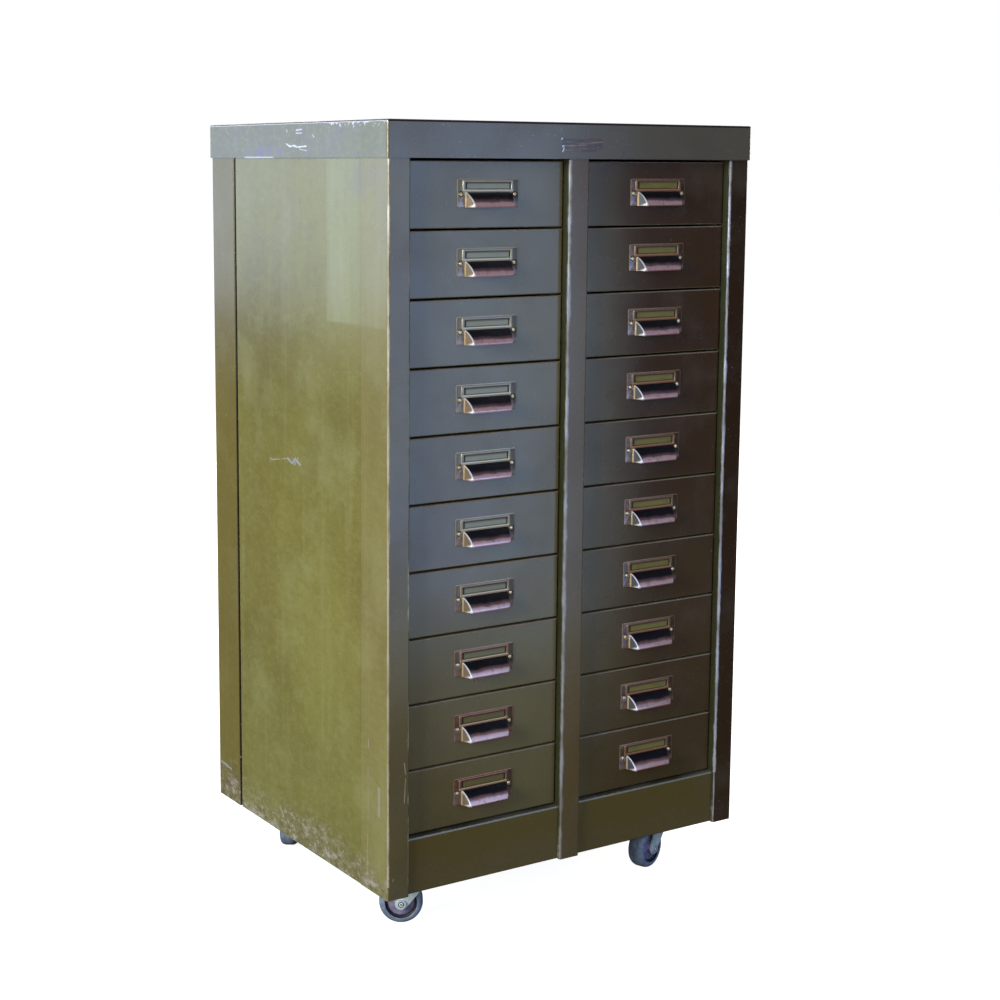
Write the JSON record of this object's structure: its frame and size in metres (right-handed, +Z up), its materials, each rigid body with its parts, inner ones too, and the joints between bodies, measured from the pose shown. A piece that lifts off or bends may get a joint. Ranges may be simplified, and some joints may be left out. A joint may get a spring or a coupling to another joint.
{
  "type": "filing cabinet",
  "caption": "Free-standing steel filing cabinet of stacked shallow drawers with label-holder cup pulls, on small swivel casters.",
  "frame": {"origin": "on the floor under the centre of the cabinet's bounding box", "axes": "+X to the right seen from the front, +Y towards the back, +Z up; the drawers open towards -Y"},
  "size_m": [0.6148, 0.5242, 1.1174],
  "materials": {
    "olive_enamel": "worn semi-gloss olive green enamel over steel, rubbed to bare metal along the edges",
    "inner_steel": "dull olive enamel, thin and dusty",
    "aged_bronze": "darkened bronze-plated pressing with rubbed copper edges",
    "zinc_plate": "bright zinc-plated steel, a little dulled",
    "grey_rubber": "hard blue-grey rubber with scuffs"
  },
  "bodies": {
    "casing": {"top_cap": "olive_enamel", "side_left": "olive_enamel", "side_right": "olive_enamel", "rear_post_left": "olive_enamel", "rear_post_right": "olive_enamel", "back_panel": "olive_enamel", "center_stile": "olive_enamel", "center_partition": "inner_steel", "kick_panel": "olive_enamel", "bottom_pan": "inner_steel", "drawer_runners": "inner_steel", "caster_mounts": "zinc_plate"},
    "drawer_L01": {"drawer_L01": "olive_enamel", "pull_L01": "aged_bronze"},
    "drawer_L02": {"drawer_L02": "olive_enamel", "pull_L02": "aged_bronze"},
    "drawer_L03": {"drawer_L03": "olive_enamel", "pull_L03": "aged_bronze"},
    "drawer_L04": {"drawer_L04": "olive_enamel", "pull_L04": "aged_bronze"},
    "drawer_L05": {"drawer_L05": "olive_enamel", "pull_L05": "aged_bronze"},
    "drawer_L06": {"drawer_L06": "olive_enamel", "pull_L06": "aged_bronze"},
    "drawer_L07": {"drawer_L07": "olive_enamel", "pull_L07": "aged_bronze"},
    "drawer_L08": {"drawer_L08": "olive_enamel", "pull_L08": "aged_bronze"},
    "drawer_L09": {"drawer_L09": "olive_enamel", "pull_L09": "aged_bronze"},
    "drawer_L10": {"drawer_L10": "olive_enamel", "pull_L10": "aged_bronze"},
    "drawer_R01": {"drawer_R01": "olive_enamel", "pull_R01": "aged_bronze"},
    "drawer_R02": {"drawer_R02": "olive_enamel", "pull_R02": "aged_bronze"},
    "drawer_R03": {"drawer_R03": "olive_enamel", "pull_R03": "aged_bronze"},
    "drawer_R04": {"drawer_R04": "olive_enamel", "pull_R04": "aged_bronze"},
    "drawer_R05": {"drawer_R05": "olive_enamel", "pull_R05": "aged_bronze"},
    "drawer_R06": {"drawer_R06": "olive_enamel", "pull_R06": "aged_bronze"},
    "drawer_R07": {"drawer_R07": "olive_enamel", "pull_R07": "aged_bronze"},
    "drawer_R08": {"drawer_R08": "olive_enamel", "pull_R08": "aged_bronze"},
    "drawer_R09": {"drawer_R09": "olive_enamel", "pull_R09": "aged_bronze"},
    "drawer_R10": {"drawer_R10": "olive_enamel", "pull_R10": "aged_bronze"},
    "caster_front_left": {"caster_yoke_front_left": "zinc_plate"},
    "wheel_front_left": {"caster_wheel_front_left": "grey_rubber"},
    "caster_front_right": {"caster_yoke_front_right": "zinc_plate"},
    "wheel_front_right": {"caster_wheel_front_right": "grey_rubber"},
    "caster_rear_left": {"caster_yoke_rear_left": "zinc_plate"},
    "wheel_rear_left": {"caster_wheel_rear_left": "grey_rubber"},
    "caster_rear_right": {"caster_yoke_rear_right": "zinc_plate"},
    "wheel_rear_right": {"caster_wheel_rear_right": "grey_rubber"}
  },
  "joints": [
    {"name": "drawer_L01_slide", "type": "slide", "parent": "casing", "child": "drawer_L01", "axis": [0, -1, 0], "range_m": [0, 0.38]},
    {"name": "drawer_L02_slide", "type": "slide", "parent": "casing", "child": "drawer_L02", "axis": [0, -1, 0], "range_m": [0, 0.38]},
    {"name": "drawer_L03_slide", "type": "slide", "parent": "casing", "child": "drawer_L03", "axis": [0, -1, 0], "range_m": [0, 0.38]},
    {"name": "drawer_L04_slide", "type": "slide", "parent": "casing", "child": "drawer_L04", "axis": [0, -1, 0], "range_m": [0, 0.38]},
    {"name": "drawer_L05_slide", "type": "slide", "parent": "casing", "child": "drawer_L05", "axis": [0, -1, 0], "range_m": [0, 0.38]},
    {"name": "drawer_L06_slide", "type": "slide", "parent": "casing", "child": "drawer_L06", "axis": [0, -1, 0], "range_m": [0, 0.38]},
    {"name": "drawer_L07_slide", "type": "slide", "parent": "casing", "child": "drawer_L07", "axis": [0, -1, 0], "range_m": [0, 0.38]},
    {"name": "drawer_L08_slide", "type": "slide", "parent": "casing", "child": "drawer_L08", "axis": [0, -1, 0], "range_m": [0, 0.38]},
    {"name": "drawer_L09_slide", "type": "slide", "parent": "casing", "child": "drawer_L09", "axis": [0, -1, 0], "range_m": [0, 0.38]},
    {"name": "drawer_L10_slide", "type": "slide", "parent": "casing", "child": "drawer_L10", "axis": [0, -1, 0], "range_m": [0, 0.38]},
    {"name": "drawer_R01_slide", "type": "slide", "parent": "casing", "child": "drawer_R01", "axis": [0, -1, 0], "range_m": [0, 0.38]},
    {"name": "drawer_R02_slide", "type": "slide", "parent": "casing", "child": "drawer_R02", "axis": [0, -1, 0], "range_m": [0, 0.38]},
    {"name": "drawer_R03_slide", "type": "slide", "parent": "casing", "child": "drawer_R03", "axis": [0, -1, 0], "range_m": [0, 0.38]},
    {"name": "drawer_R04_slide", "type": "slide", "parent": "casing", "child": "drawer_R04", "axis": [0, -1, 0], "range_m": [0, 0.38]},
    {"name": "drawer_R05_slide", "type": "slide", "parent": "casing", "child": "drawer_R05", "axis": [0, -1, 0], "range_m": [0, 0.38]},
    {"name": "drawer_R06_slide", "type": "slide", "parent": "casing", "child": "drawer_R06", "axis": [0, -1, 0], "range_m": [0, 0.38]},
    {"name": "drawer_R07_slide", "type": "slide", "parent": "casing", "child": "drawer_R07", "axis": [0, -1, 0], "range_m": [0, 0.38]},
    {"name": "drawer_R08_slide", "type": "slide", "parent": "casing", "child": "drawer_R08", "axis": [0, -1, 0], "range_m": [0, 0.38]},
    {"name": "drawer_R09_slide", "type": "slide", "parent": "casing", "child": "drawer_R09", "axis": [0, -1, 0], "range_m": [0, 0.38]},
    {"name": "drawer_R10_slide", "type": "slide", "parent": "casing", "child": "drawer_R10", "axis": [0, -1, 0], "range_m": [0, 0.38]},
    {"name": "caster_front_left_swivel", "type": "hinge", "parent": "casing", "child": "caster_front_left", "pos_m": [-0.213, -0.18835, 0.067], "axis": [0, 0, 1], "continuous": true},
    {"name": "wheel_front_left_spin", "type": "hinge", "parent": "caster_front_left", "child": "wheel_front_left", "pos_m": [-0.23357, -0.17599, 0.031], "axis": [-0.515, -0.8572, 0], "continuous": true},
    {"name": "caster_front_right_swivel", "type": "hinge", "parent": "casing", "child": "caster_front_right", "pos_m": [0.213, -0.18835, 0.067], "axis": [0, 0, 1], "continuous": true},
    {"name": "wheel_front_right_spin", "type": "hinge", "parent": "caster_front_right", "child": "wheel_front_right", "pos_m": [0.19031, -0.19616, 0.031], "axis": [0.3256, -0.9455, 0], "continuous": true},
    {"name": "caster_rear_left_swivel", "type": "hinge", "parent": "casing", "child": "caster_rear_left", "pos_m": [-0.213, 0.18965, 0.067], "axis": [0, 0, 1], "continuous": true},
    {"name": "wheel_rear_left_spin", "type": "hinge", "parent": "caster_rear_left", "child": "wheel_rear_left", "pos_m": [-0.22711, 0.17023, 0.031], "axis": [0.809, -0.5878, 0], "continuous": true},
    {"name": "caster_rear_right_swivel", "type": "hinge", "parent": "casing", "child": "caster_rear_right", "pos_m": [0.213, 0.18965, 0.067], "axis": [0, 0, 1], "continuous": true},
    {"name": "wheel_rear_right_spin", "type": "hinge", "parent": "caster_rear_right", "child": "wheel_rear_right", "pos_m": [0.225, 0.21043, 0.031], "axis": [-0.866, 0.5, 0], "continuous": true}
  ]
}
